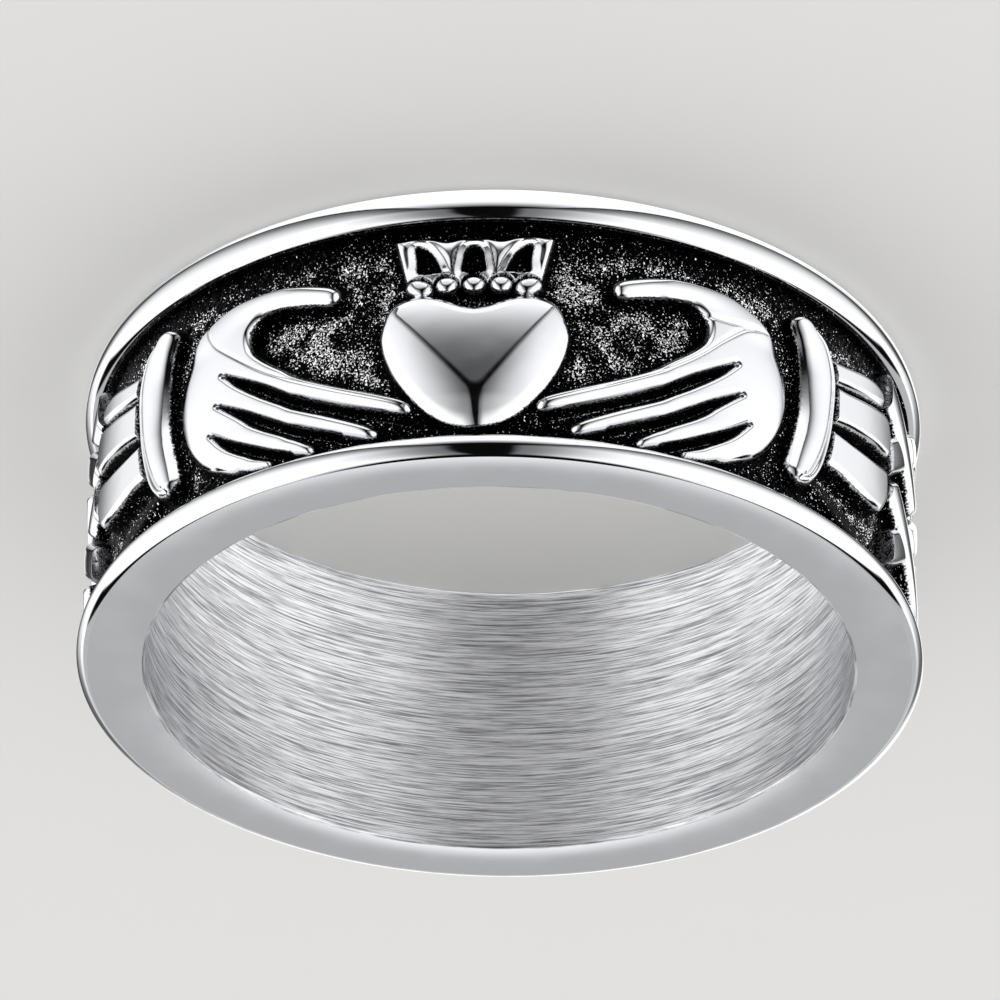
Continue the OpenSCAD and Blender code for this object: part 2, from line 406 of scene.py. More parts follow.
@dataclass(frozen=True)
class Crown:
    """The crown: rounded bars round three openings, on a row of beads."""

    middle: float = -0.03
    width: float = 4.16
    foot_width: float = 3.42
    foot: float = 1.14
    length: float = 1.5
    height: float = 0.34
    frame: float = 0.36
    frame_rise: float = 0.075
    ring: float = 0.21
    ring_rise: float = 0.075
    ring_foot: float = 0.03
    valley: float = 0.035
    valley_width: float = 0.12
    gap_inset: float = 0.045
    gap_wall: float = 0.06
    soften: float = 0.018
    bead: float = 0.59
    bead_squash: float = 0.84
    beads: int = 5
    # An end bead's length over its width, its lean, and how far it is set toward the heart
    end_bead: tuple[float, float, float] = (1.25, 0.5, 0.05)
    bead_rise: float = 0.02
    bead_wall: float = 0.3
    bead_dome: float = 0.15
    bead_power: int = 4
    bead_tilt: float = 0.1
    bead_skirt: float = 0.06
    bead_moat: float = 0.05
    edge: Edge = Edge(share=0.8, radius=0.1, power=2.0, wall=0.07)
    # Shares of half the width and of the length
    top: Rows = (
        (1, 0.97), (0.86, 0.985), (0.7, 1), (0.52, 0.96), (0.34, 0.9), (0.17, 0.935), (0, 0.95),
    )
    side_gap: Rows = (
        (0.375, 0.2), (0.7, 0.2), (0.73, 0.5), (0.755, 0.76), (0.735, 0.805), (0.69, 0.82),
        (0.61, 0.77), (0.52, 0.67), (0.43, 0.47), (0.385, 0.3),
    )
    arch: Rows = (
        (-0.155, 0.2), (0.155, 0.2), (0.155, 0.5), (0.135, 0.65), (0.085, 0.75), (0, 0.785),
        (-0.085, 0.75), (-0.135, 0.65), (-0.155, 0.5),
    )

    def place(self, rows: Rows, side: int = 1) -> np.ndarray:
        """Turns rows of shares into places, mirrored where side is -1."""
        return np.array([(side * a * self.width / 2, self.foot + b * self.length) for a, b in rows])

    def cast(self, grid: Grid) -> Raised:
        """The form on a grid.

        Args:
            grid: places in the channel.

        Returns:
            The form.
        """
        grid = Grid(grid.x - self.middle, grid.y)
        right = curve(self.place(self.top))
        left = right[-2::-1] * (-1, 1)
        foot = self.foot_width / 2
        loop = np.concatenate([[(-foot, self.foot), (foot, self.foot)], right, left])
        plate = inside(loop, grid)
        gap = np.full(grid.shape, FAR)
        for rows, side in ((self.side_gap, 1), (self.side_gap, -1), (self.arch, 1)):
            opening = inside(curve(self.place(rows, side), 4, closed=True), grid)
            gap = np.minimum(gap, self.gap_inset - opening)
        # A frame that rises from the outline, and a ring that rises toward each opening
        frame_top = self.frame_rise * (1.0 - np.clip(1.0 - plate / self.frame, 0, 1) ** 2)
        frame_top = frame_top - self.valley * np.clip(1.0 - (gap - self.ring) / self.valley_width, 0, 1)
        ring_top = self.ring_foot + self.ring_rise * (1.0 - np.maximum(gap, 0) / self.ring)
        top = grid.blur(self.height + np.where(gap < self.ring, ring_top, frame_top), self.soften)
        found = self.edge.cast(top, plate).height * np.clip(1.0 + gap / self.gap_wall, 0, 1)
        depth = np.minimum(plate, gap)
        x, y = grid.places()
        step = (self.foot_width - self.bead) / (self.beads - 1)
        half = self.bead / 2
        for i in range(self.beads):
            along = x - (i - (self.beads - 1) / 2) * step
            across = (y - self.foot - self.bead_rise) / self.bead_squash
            if i in (0, self.beads - 1):
                # The end beads are longer and lean outward
                wide, lean, drop = self.end_bead
                cos, sin = math.cos(lean), math.sin(lean) * (1 if i else -1)
                across = across + drop
                along, across = (along * cos + across * sin) / wide, across * cos - along * sin
            away = np.hypot(along, across)
            dome = self.bead_dome * np.clip(1.0 - (away / half) ** self.bead_power, 0, 1)
            ball = self.bead_wall + dome - self.bead_tilt * across
            skirt = self.bead_wall * np.clip(1.0 - (away - half) / self.bead_skirt, 0, 1)
            moat = np.clip((away - half) / self.bead_moat, 0, 1)
            by_bead = away < half + self.bead_moat
            found = np.where(by_bead, found * moat, found)
            depth = np.where(by_bead, half - away, depth)
            found = np.maximum(found, np.where(away < half, ball, skirt))
        return Raised(found, depth)


@dataclass(frozen=True)
class Hand:
    """One hand, as on the right side; its mirror image stands on the left."""

    side: Side
    # How a finger or the thumb falls to its sides, and how far past its edge that goes on
    fall: float = 0.33
    power: float = 2.2
    fall_end: float = 1.4
    # How the palm falls, toward the cuff and toward the fingers
    back_fall: float = 0.58
    back_power: float = 2.0
    web_fall: float = 0.12
    palm_end: float = 1.3
    least: float = 0.1
    join: float = 0.03
    root_join: float = 0.1
    soften: float = 0.13
    edge: Edge = Edge(share=0.74, radius=0.16, power=2.2)
    crease_depth: float = 0.026
    crease_half: float = 0.045
    # A thin thread of metal along the bottom of each groove: its height, and share of the groove's width
    thread: float = 0.06
    thread_half: float = 0.2
    thread_polish: float = 0.03
    # Outline of thumb, palm and the index finger's root
    loop: Rows = (
        (5.0, -0.78), (5.56, -0.4), (6.0, 0.05), (6.2, 0.5), (6.2, 0.92), (5.97, 1.22), (5.6, 1.34),
        (5.0, 1.3), (4.4, 1.19), (3.97, 1.1), (3.72, 1.14), (3.62, 1.34), (3.76, 1.58), (4.2, 1.75),
        (5.0, 1.91), (6.0, 1.96), (6.9, 1.88), (7.7, 1.6), (8.34, 1.28), (8.7, 0.82), (8.95, 0.1),
        (8.95, -0.62), (8.75, -1.3), (8.35, -1.97), (7.82, -2.52), (7.13, -2.92), (6.6, -3.06),
        (6.2, -2.6), (5.9, -2.0), (5.6, -1.5), (5.2, -1.1),
    )
    # Bars that raise the surface: x, y, half width, height
    palm: Rows = (
        (7.2, 1.0, 0.8, 0.54), (7.3, 0.3, 1.3, 0.58), (7.4, -0.4, 1.4, 0.59), (7.35, -1.1, 1.3, 0.58),
        (7.2, -1.8, 1.05, 0.56), (6.9, -2.4, 0.8, 0.54),
    )
    thumb: Rows = (
        (3.8, 1.33, 0.3, 0.47), (4.4, 1.48, 0.33, 0.5), (5.0, 1.61, 0.36, 0.51), (5.8, 1.66, 0.4, 0.53),
        (6.6, 1.5, 0.6, 0.55), (7.3, 1.0, 0.9, 0.57),
    )
    fingers: tuple[Rows, ...] = (
        (
            (6.9, 0.25, 0.5, 0.55), (5.95, -0.42, 0.36, 0.53), (4.9, -1.09, 0.29, 0.51),
            (3.9, -1.58, 0.265, 0.5), (2.9, -1.96, 0.25, 0.48), (2.05, -2.24, 0.215, 0.46),
            (1.78, -2.33, 0.16, 0.42),
        ),
        (
            (6.9, -0.75, 0.4, 0.55), (5.9, -1.42, 0.31, 0.53), (4.9, -2.01, 0.27, 0.51),
            (3.9, -2.49, 0.25, 0.5), (2.95, -2.88, 0.2, 0.46), (2.68, -2.98, 0.14, 0.42),
        ),
        (
            (7.2, -1.5, 0.4, 0.55), (6.4, -2.03, 0.32, 0.53), (5.8, -2.4, 0.27, 0.51),
            (4.9, -2.88, 0.22, 0.48), (4.45, -3.08, 0.14, 0.42),
        ),
        (
            (7.2, -2.3, 0.36, 0.54), (6.8, -2.72, 0.27, 0.5), (6.2, -3.04, 0.18, 0.46),
            (5.6, -3.22, 0.1, 0.4),
        ),
    )
    # Cuts between the fingers: x, y, half width
    grooves: tuple[Rows, ...] = (
        (
            (6.98, -0.17, 0.025), (6.5, -0.53, 0.11), (5.9, -0.93, 0.16), (4.9, -1.57, 0.165),
            (3.9, -2.03, 0.165), (2.9, -2.43, 0.17), (1.9, -2.75, 0.17),
        ),
        (
            (7.14, -1.02, 0.025), (6.4, -1.52, 0.115), (5.9, -1.88, 0.16), (4.9, -2.46, 0.165),
            (3.6, -3.0, 0.17),
        ),
        (
            (7.4, -1.8, 0.025), (6.9, -2.22, 0.11), (6.4, -2.54, 0.15), (5.6, -2.95, 0.16),
            (5.0, -3.2, 0.16),
        ),
    )
    # Creases: x, y, share of the full half width, share of the full depth
    left_creases: tuple[Rows, ...] = (
        (
            (6.9, 1.97, 0.7, 0.5), (7.44, 1.77, 0.9, 0.8), (7.6, 1.46, 1, 1), (7.36, 0.92, 1, 1),
            (6.9, 0.45, 1, 1), (5.8, -0.44, 1, 1), (4.9, -0.98, 1, 1), (3.6, -1.62, 1, 1),
            (2.5, -2.06, 0.9, 0.8), (1.8, -2.33, 0.7, 0.6),
        ),
    )
    right_creases: tuple[Rows, ...] = (
        (
            (8.1, 1.2, 0.8, 0.8), (7.6, 1.1, 1.6, 2.2), (7.2, 0.93, 1.7, 2.2), (6.6, 0.4, 1.2, 1.3),
            (5.9, -0.25, 1, 1), (4.9, -0.95, 1, 1), (3.6, -1.6, 1, 1), (2.5, -2.05, 0.9, 0.8),
            (1.8, -2.3, 0.7, 0.6),
        ),
        (
            (5.8, 1.24, 0.8, 0.8), (6.15, 1.06, 1.3, 1.8), (6.7, 1.02, 1.4, 2), (7.2, 1.06, 1.5, 2.2),
            (7.6, 1.12, 1.5, 2),
        ),
    )

    def cast(self, grid: Grid) -> Raised:
        """The form on a grid.

        Args:
            grid: places in the channel.

        Returns:
            The form.
        """
        seen = grid.mirrored(self.side.value)
        depth = inside(curve(self.loop, closed=True), seen)
        top = np.full(seen.shape, self.least)
        for rows in (self.palm, self.thumb, *self.fingers):
            reach = Bar(curve(rows)).measure(seen, margin=1.0)
            if rows is self.palm:
                # The palm falls toward the cuff, and hardly toward the fingers
                outer = np.clip(reach.across, 0.0, self.palm_end) ** self.back_power
                web = np.clip(-reach.across, 0.0, self.palm_end) ** 2
                fall = self.back_fall * outer + self.web_fall * web
            else:
                outer = np.clip(1.0 - reach.inside / reach.half, 0.0, self.fall_end)
                fall = self.fall * outer**self.power
            top = higher(top, reach.height * (1.0 - fall), self.join)
        for rows in self.fingers:
            depth = higher(depth, Bar(curve(rows)).measure(seen).inside, self.root_join)
        top = seen.blur(top, self.soften)
        creases = self.right_creases if self.side is Side.RIGHT else self.left_creases
        for rows in creases:
            sized = [(a, b, w * self.crease_half, d * self.crease_depth) for a, b, w, d in rows]
            reach = Bar(curve(sized)).measure(seen)
            away = (reach.half - reach.inside) / reach.half
            top = top - reach.height * np.exp(-(away**2))
        line = np.zeros(seen.shape)
        for rows in self.grooves:
            reach = Bar(curve([(*row, 0.0) for row in rows])).measure(seen)
            depth = np.minimum(depth, -reach.inside)
            share = np.clip(1.0 - np.abs(reach.across) / self.thread_half, 0, 1) * (reach.inside > 0)
            line = np.maximum(line, share)
        worn = np.where(line > 0, (line - 1.0) * self.thread_polish, -FAR)
        found = self.edge.cast(top, depth)
        return found.join(Raised(self.thread * line, worn)).back(self.side)


@dataclass(frozen=True)
class Cuff:
    """A cuff: a bowed crescent, rounded over its middle, with a thin lip along its outer side."""

    side: Side
    lip: float = 0.23
    lip_height: float = 0.46
    lip_round: float = 0.06
    lip_from: float = 0.2
    groove: float = 0.035
    groove_half: float = 0.04
    # How it falls to both sides of its middle, as shares of its half width
    middle: float = -0.05
    fall: float = 0.3
    fall_half: float = 0.8
    fall_end: float = 1.3
    fall_power: float = 2.2
    least: float = 0.3
    soften: float = 0.03
    edge: Edge = Edge(share=0.8, radius=0.12, power=2.0)
    loop: Rows = (
        (9.5, 2.27), (10.2, 2.0), (10.55, 1.46), (10.68, 0.77), (10.57, -0.31), (10.36, -1.23),
        (10.02, -2.1), (9.6, -2.62), (9.1, -2.7), (8.84, -2.4), (8.98, -1.85), (9.23, -1.08),
        (9.38, -0.31), (9.4, 0.77), (9.3, 1.46), (9.08, 2.0), (9.18, 2.22),
    )
    # Middle line: x, y, half width, height
    line: Rows = (
        (9.4, 2.3, 0.4, 0.5), (9.7, 1.9, 0.5, 0.55), (9.95, 1.46, 0.59, 0.57),
        (10.08, 0.77, 0.61, 0.58), (10.0, -0.31, 0.56, 0.58), (9.8, -1.1, 0.52, 0.58),
        (9.5, -1.85, 0.47, 0.57), (9.2, -2.5, 0.38, 0.54),
    )

    def depth(self, seen: Grid) -> np.ndarray:
        """Distance inside the cuff's outline, on a grid that is seen from its side."""
        return inside(curve(self.loop, closed=True), seen)

    def cast(self, grid: Grid) -> Raised:
        """The form on a grid.

        Args:
            grid: places in the channel.

        Returns:
            The form.
        """
        seen = grid.mirrored(self.side.value)
        depth = self.depth(seen)
        reach = Bar(curve(self.line, 8)).measure(seen)
        off = np.clip(np.abs(reach.across - self.middle) / self.fall_half, 0, self.fall_end)
        lip = self.lip_height - self.lip_round * (2 * depth / self.lip - 1) ** 2
        groove = self.groove * np.exp(-(((depth - self.lip) / self.groove_half) ** 2))
        body = reach.height * (1.0 - self.fall * off**self.fall_power)
        outer = np.where(depth < self.lip, lip, body) - groove
        top = seen.blur(np.where(reach.across > self.lip_from, outer, body), self.soften)
        return self.edge.cast(np.maximum(top, self.least), depth).back(self.side)


@dataclass(frozen=True)
class Sleeve:
    """A sleeve: four pleats that fan out behind the cuff."""

    side: Side
    cuff: Cuff
    cuff_gap: float = 0.05
    edge: Edge = Edge(share=0.76, radius=0.16, power=2.0)
    tilt: float = 0.05
    # A pleat that stands lower than this is polished only along its middle
    worn_below: float = 0.3
    worn_rim: float = 0.34
    # Heights of the pleats, and their outlines
    heights: tuple[float, ...] = (0.46, 0.48, 0.48, 0.21)
    pleats: tuple[Rows, ...] = (
        (
            (10.0, 1.38), (11.15, 1.68), (12.2, 1.98), (12.9, 2.07), (13.25, 1.97), (13.3, 1.65),
            (12.9, 1.46), (12.0, 1.22), (11.0, 0.98), (10.0, 0.86),
        ),
        (
            (10.0, 0.64), (11.2, 0.9), (12.3, 1.18), (13.2, 1.4), (13.6, 1.32), (13.72, 0.9),
            (13.62, 0.4), (13.4, 0.12), (12.6, 0.04), (11.5, -0.15), (10.0, -0.34),
        ),
        (
            (10.0, -0.68), (11.5, -0.55), (12.6, -0.42), (13.35, -0.28), (13.5, -0.5), (13.4, -1.1),
            (13.1, -1.6), (12.75, -1.86), (12.0, -1.9), (11.0, -1.77), (10.0, -1.62),
        ),
        (
            (9.6, -2.1), (10.4, -2.3), (11.4, -2.6), (12.0, -2.85), (11.7, -3.25), (10.8, -3.0),
            (9.9, -2.6), (9.4, -2.4),
        ),
    )

    def cast(self, grid: Grid) -> Raised:
        """The form on a grid.

        Args:
            grid: places in the channel.

        Returns:
            The form.
        """
        seen = grid.mirrored(self.side.value)
        found = Raised(np.zeros(seen.shape), np.full(seen.shape, -FAR))
        _, y = seen.places()
        behind = -self.cuff.depth(seen) - self.cuff_gap
        for rows, height in zip(self.pleats, self.heights):
            depth = inside(curve(rows, closed=True), seen)
            middle = float(np.mean([row[1] for row in rows]))
            top = height + self.tilt * np.clip(middle - y, -1, 1)
            made = self.edge.cast(top, depth)
            if height < self.worn_below:
                made = Raised(made.height, made.depth - self.worn_rim)
            found = found.join(made)
        cut = np.clip(1.0 + behind / self.edge.wall, 0, 1)
        return Raised(found.height * cut, np.minimum(found.depth, behind)).back(self.side)


@dataclass(frozen=True)
class Plait:
    """The plait round the back: four strands that swing about the middle of the band."""

    start: float = 13.75
    step: float = 4.4
    strand: float = 0.92
    gap: float = 0.2
    height: float = 0.48
    dome: float = 0.1
    strands: int = 4
    # Sharpness of the turn at the band's edges, 1 for a plain zigzag
    turn: float = 0.985
    half_channel: float = 3.38
    side_room: float = 0.38
    around: float = 2 * math.pi * 10.9
    edge: Edge = Edge(share=0.74, radius=0.16, power=2.0)
    # How far along a strand its nearest point is looked for, and in how many steps
    search: tuple[float, int] = (1.3, 53)
    # Where a strand passes under another, in degrees of its wave, and which one, counted on
    crossing: float = 40.0
    under: tuple[tuple[float, int], ...] = ((45.0, 3), (180.0, 2), (315.0, 1))

    def cast(self, grid: Grid) -> Raised:
        """The form on a grid.

        Args:
            grid: places in the channel, whose x may run on round the ring.

        Returns:
            The form.
        """
        first = self.start - 0.5
        steps = math.ceil((self.around - 2 * first) / self.step)
        pitch = (self.around - 2 * first) / steps
        swing = self.half_channel - self.strand / 2 - self.side_room
        x, y = grid.places()
        x = np.where(x < 0, x + self.around, x)
        strands = []
        for k in range(self.strands):
            angle = (x - first - k * pitch) / pitch * math.pi / 2
            away = np.full(x.shape, FAR)
            at = np.zeros(x.shape)
            for shift in np.linspace(-self.search[0], *self.search):
                there = angle + shift / pitch * math.pi / 2
                wave = swing * np.arcsin(self.turn * np.sin(there)) / math.asin(self.turn)
                distance = np.hypot(shift, y - wave)
                near = distance < away
                away = np.where(near, distance, away)
                at = np.where(near, there, at)
            strands.append((self.strand / 2 - away, np.degrees(at) % 360))
        found = Raised(np.zeros(x.shape), np.full(x.shape, -FAR))
        for k, (depth, at) in enumerate(strands):
            for degrees, count in self.under:
                near = np.abs((at - degrees + 180) % 360 - 180) < self.crossing
                other = strands[(k + count) % self.strands][0]
                depth = np.where(near, np.minimum(depth, -other - self.gap), depth)
            off = np.clip(1 - strands[k][0] / (self.strand / 2), 0, 1)
            top = self.height * (1 - self.dome * off**2)
            found = found.join(self.edge.cast(top, depth))
        shown = np.minimum(x - self.start, self.around - self.start - x)
        return Raised(np.where(shown > 0, found.height, 0.0), np.minimum(found.depth, shown))


@dataclass(frozen=True)
class Rim:
    """How a rim is rounded along the axis: width of its shoulder toward the face, and its own width."""

    shoulder: float
    width: float


@dataclass(frozen=True)
class Section:
    """The band's cross section, in the sizes that the source of the part gives."""

    bore_r: float = 9.25
    # The source's 1.8 less what the solid's facets lose, so that the piece stays within the solid's box
    wall: float = 1.795
    width: float = 8.0
    crown_rim: Rim = Rim(0.66, 0.86)
    tip_rim: Rim = Rim(0.24, 0.62)
    channel_d: float = 0.6
    shoulder_t: float = 0.29
    rim_t: float = 0.3
    bevel: float = 0.08

    @property
    def outer_r(self) -> float:
        """Radius over the rims."""
        return self.bore_r + self.wall

    @property
    def floor_r(self) -> float:
        """Radius of the channel's floor."""
        return self.outer_r - self.channel_d

    @property
    def relief_r(self) -> float:
        """Radius at which lengths along the band are measured."""
        return self.outer_r - self.channel_d / 4

    @property
    def channel(self) -> tuple[float, float]:
        """Both sides of the channel, measured across the band from its middle toward the crown."""
        return self.tip_rim.width - self.width / 2, self.width / 2 - self.crown_rim.width


def linear(hex_colour: str) -> tuple[float, float, float, float]:
    """Turns an sRGB hex colour into Blender's linear one.

    Args:
        hex_colour: six hex digits after a #.

    Returns:
        Red, green, blue and an alpha of 1.
    """
    parts = [int(hex_colour[i : i + 2], 16) / 255 for i in (1, 3, 5)]
    lit = [p / 12.92 if p <= 0.04045 else ((p + 0.055) / 1.055) ** 2.4 for p in parts]
    return lit[0], lit[1], lit[2], 1.0


def add(tree: bpy.types.NodeTree, kind: str, inputs: dict, **settings: Any) -> bpy.types.Node:
    """Adds one node with its settings and links.

    Args:
        tree: the tree it goes in.
        kind: Blender's name of the node's type, without the ShaderNode in front.
        inputs: by the input's name or number, a value, a colour or an output to link, or a node
            whose first output is linked.
        settings: properties of the node.

    Returns:
        The node.
    """
    made = tree.nodes.new("ShaderNode" + kind)
    for name, value in settings.items():
        setattr(made, name, value)
    for key, value in inputs.items():
        if isinstance(value, bpy.types.Node):
            value = value.outputs[0]
        if isinstance(value, bpy.types.NodeSocket):
            tree.links.new(value, made.inputs[key])
        else:
            made.inputs[key].default_value = value
    return made


def blank(name: str) -> tuple[bpy.types.Material, Add, bpy.types.NodeSocket]:
    """Starts a material.

    Args:
        name: the material's name.

    Returns:
        The material, add() for its empty tree, and the coordinates of the piece, in metres.
    """
    material = bpy.data.materials.new(name)
    material.use_nodes = True
    material.node_tree.nodes.clear()
    node = partial(add, material.node_tree)
    return material, node, node("TexCoord", {}).outputs["Object"]


def scale(size_mm: float) -> float:
    """Scale of a noise whose spots are about size_mm across."""
    return 1 / (size_mm * MM)


@dataclass(frozen=True)
class CastSteel:
    """Stainless steel, cast, blackened with oxide and sand-blasted, then polished on its high places.

    The polish gives clear reflections with soft waves in them; the hollows stay nearly black, with a
    fine sparkle, and the border between them is ragged. The mesh says at each point how far inside
    a polished outline it lies, and how clear it is of the walls of forms and rims; by those walls
    fewer bright grains are drawn, which is painted shade.
    """

    name: str = "cast_steel"
    polished: str = "#dcdde0"
    oxide: str = "#030304"
    grit: str = "#f2f2f4"
    # The border wanders by ragged_mm to either side, in steps of fray_mm
    ragged_mm: float = 0.05
    fray_mm: float = 0.07
    border_mm: tuple[float, float] = (-0.012, 0.02)
    # Blasted grit is some 0.03 mm across; it is drawn coarser so that it shows
    grit_mm: float = 0.05
    # How much of the grit shows: the noise above which a grain starts and is whole
    grain: tuple[float, float] = (0.69, 0.735)
    # Pits that the blasting leaves, in their real size
    pit_mm: float = 0.06
    pit_depth_mm: float = 0.035
    # Patches where the grit stands closer together
    crowd_mm: float = 0.7
    crowd_share: float = 0.185
    # Haze and soft waves that hand polishing leaves on the high places
    haze_mm: float = 0.35
    wave_mm: float = 0.9
    wave_depth_mm: float = 0.012

    def make(self) -> bpy.types.Material:
        """Builds the material.

        Returns:
            The material.
        """
        material, node, place = blank(self.name)
        within = node("Attribute", {}, attribute_name=WITHIN).outputs["Fac"]
        unshaded_share = node("Attribute", {}, attribute_name=UNSHADED).outputs["Fac"]
        # Where the polish ends
        fray = node("TexNoise", {"Vector": place, "Scale": scale(self.fray_mm), "Roughness": 0.6})
        ragged = {0: fray, 1: 2 * self.ragged_mm, 2: -self.ragged_mm}
        wander = node("Math", ragged, operation="MULTIPLY_ADD")
        border = node("Math", {0: within, 1: wander}, operation="ADD")
        shine = node("MapRange", {0: border, 1: self.border_mm[0], 2: self.border_mm[1]}, **EASED)
        # Bright grains in the oxide, closer together in patches, and fewer by the walls of forms and
        # rims, which is painted shade
        patches = node("TexNoise", {"Vector": place, "Scale": scale(self.crowd_mm)})
        thick = node("MapRange", {0: patches, 1: 0.38, 2: 0.6, 3: 0.2, 4: 1.0}, **EASED)
        crowd_with_painted_shade = node("Math", {0: thick, 1: unshaded_share}, operation="MULTIPLY")
        grit = node("TexNoise", {"Vector": place, "Scale": scale(self.grit_mm), "Detail": 1.0})
        spot = node("Math", {0: crowd_with_painted_shade, 1: self.crowd_share, 2: grit}, operation="MULTIPLY_ADD")
        fleck = node("MapRange", {0: spot, 1: self.grain[0], 2: self.grain[1]}, **EASED)
        dark = node("Mix", {0: fleck, 6: linear(self.oxide), 7: linear(self.grit)}, data_type="RGBA")
        colour = node("Mix", {0: shine, 6: dark.outputs[2], 7: linear(self.polished)}, data_type="RGBA")
        # Dull oxide, grains that catch the light, and a clear polish
        dull = node("MapRange", {0: fleck, 1: 0.0, 2: 1.0, 3: 0.6, 4: 0.25}, **EASED)
        haze = node("TexNoise", {"Vector": place, "Scale": scale(self.haze_mm)})
        bright = node("MapRange", {0: haze, 1: 0.3, 2: 0.7, 3: 0.06, 4: 0.11}, **EASED)
        rough = node("Mix", {0: shine, 2: dull, 3: bright}, data_type="FLOAT")
        # Pits in the oxide and waves in the polish
        pitting = node("TexNoise", {"Vector": place, "Scale": scale(self.pit_mm)})
        pits = node("Bump", {"Height": pitting, "Strength": 0.9, "Distance": self.pit_depth_mm * MM})
        swell = node("TexNoise", {"Vector": place, "Scale": scale(self.wave_mm), "Detail": 1.0})
        waves = node("Bump", {"Height": swell, "Strength": 0.4, "Distance": self.wave_depth_mm * MM})
        normal = node("Mix", {0: shine, 4: pits, 5: waves}, data_type="VECTOR").outputs[1]
        surface = {"Base Color": colour.outputs[2], "Metallic": 1.0, "Roughness": rough, "Normal": normal}
        node("OutputMaterial", {"Surface": node("BsdfPrincipled", surface)})
        return material


@dataclass(frozen=True)
class PolishedSteel:
    """Stainless steel polished to a mirror, with the faint haze and hairlines of wear."""

    name: str = "polished_steel"
    colour: str = "#dcdde0"
    # Hairlines run round the band. They are some 0.01 mm wide, and are drawn wider so that they show
    hairline_mm: float = 0.04
    hairline_stretch: float = 0.06
    hairline_depth_mm: float = 0.002
    haze_mm: float = 0.8
    wave_mm: float = 2.5
    wave_depth_mm: float = 0.01

    def make(self) -> bpy.types.Material:
        """Builds the material.

        Returns:
            The material.
        """
        material, node, place = blank(self.name)
        long = (self.hairline_stretch, self.hairline_stretch, 1.0)
        drawn = node("Mapping", {"Vector": place, "Scale": long})
        hairs = node("TexNoise", {"Vector": drawn, "Scale": scale(self.hairline_mm), "Roughness": 0.6})
        cloud = {"Vector": place, "Scale": scale(self.haze_mm), "Detail": 3.0, "Roughness": 0.6}
        cloud = node("TexNoise", cloud)
        haze = node("MapRange", {0: cloud, 1: 0.3, 2: 0.75, 3: 0.035, 4: 0.075}, **EASED)
        fine = self.hairline_depth_mm * MM
        lines = node("Bump", {"Height": hairs, "Strength": 0.12, "Distance": fine})
        swell = node("TexNoise", {"Vector": place, "Scale": scale(self.wave_mm), "Detail": 1.0})
        soft = self.wave_depth_mm * MM
        waves = node("Bump", {"Height": swell, "Strength": 0.4, "Distance": soft, "Normal": lines})
        surface = {"Base Color": linear(self.colour), "Metallic": 1.0, "Roughness": haze, "Normal": waves}
        node("OutputMaterial", {"Surface": node("BsdfPrincipled", surface)})
        return material


@dataclass(frozen=True)
class SatinSteel:
    """Stainless steel turned and softly polished: an even grey sheen with faint turning marks."""

    name: str = "satin_steel"
    colour: str = "#cfd0d3"
    # Turning marks as far apart as a fine cut leaves them
    mark_mm: float = 0.05
    mark_depth_mm: float = 0.002
    mottle_mm: float = 1.2

    def make(self) -> bpy.types.Material:
        """Builds the material.

        Returns:
            The material.
        """
        material, node, place = blank(self.name)
        split = node("SeparateXYZ", {0: place}).outputs
        flat = node("CombineXYZ", {0: split[0], 1: split[1]})
        radius = node("VectorMath", {0: flat}, operation="LENGTH").outputs["Value"]
        marks = node("Math", {0: radius, 1: self.mark_mm * MM}, operation="DIVIDE")
        turned = node("TexNoise", {"W": marks, "Scale": 1.0}, noise_dimensions="1D")
        bump = node("Bump", {"Height": turned, "Strength": 0.1, "Distance": self.mark_depth_mm * MM})
        mottle = node("TexNoise", {"Vector": place, "Scale": scale(self.mottle_mm), "Detail": 3.0})
        rough = node("MapRange", {0: mottle, 1: 0.3, 2: 0.7, 3: 0.16, 4: 0.22}, **EASED)
        surface = {"Base Color": linear(self.colour), "Metallic": 1.0, "Roughness": rough, "Normal": bump}
        node("OutputMaterial", {"Surface": node("BsdfPrincipled", surface)})
        return material


@dataclass(frozen=True)
class Scratches:
    """One set of brushed hairlines."""

    width_mm: float
    # Width over length, slant of the brush, and share of the whole
    stretch: float
    slant: float
    share: float


@dataclass(frozen=True)
class BrushedSteel:
    """Stainless steel brushed round the bore: fine hairlines along the turn, a sheen across them."""

    name: str = "brushed_steel"
    light: str = "#f4f4f6"
    dark: str = "#86878b"
    # Brushed hairlines are some 0.01 mm wide; they are drawn wider so that they show
    scratches: tuple[Scratches, ...] = (
        Scratches(0.04, 0.018, 0.0, 0.5),
        Scratches(0.08, 0.02, 0.03, 0.15),
        Scratches(0.028, 0.03, -0.04, 0.35),
    )
    depth_mm: float = 0.02

    def make(self) -> bpy.types.Material:
        """Builds the material.

        Returns:
            The material.
        """
        material, node, place = blank(self.name)
        lines = 0.0
        for kind in self.scratches:
            slant = (kind.slant, kind.slant / 2, 0)
            long = (kind.stretch, kind.stretch, 1.0)
            turned = node("Mapping", {"Vector": place, "Rotation": slant, "Scale": long})
            noise = {"Vector": turned, "Scale": scale(kind.width_mm), "Detail": 3.0, "Roughness": 0.65}
            found = {0: node("TexNoise", noise), 1: kind.share, 2: lines}
            lines = node("Math", found, operation="MULTIPLY_ADD")
        tone = node("MapRange", {0: lines, 1: 0.39, 2: 0.58}, **EASED)
        colour = node("Mix", {0: tone, 6: linear(self.dark), 7: linear(self.light)}, data_type="RGBA")
        surface = {
            "Base Color": colour.outputs[2],
            "Metallic": 1.0,
            "Roughness": node("MapRange", {0: lines, 1: 0.3, 2: 0.7, 3: 0.42, 4: 0.32}, **EASED),
            "Anisotropic": 0.8,
            "Anisotropic Rotation": 0.25,
            "Normal": node("Bump", {"Height": lines, "Strength": 0.75, "Distance": self.depth_mm * MM}),
        }
        node("OutputMaterial", {"Surface": node("BsdfPrincipled", surface)})
        return material


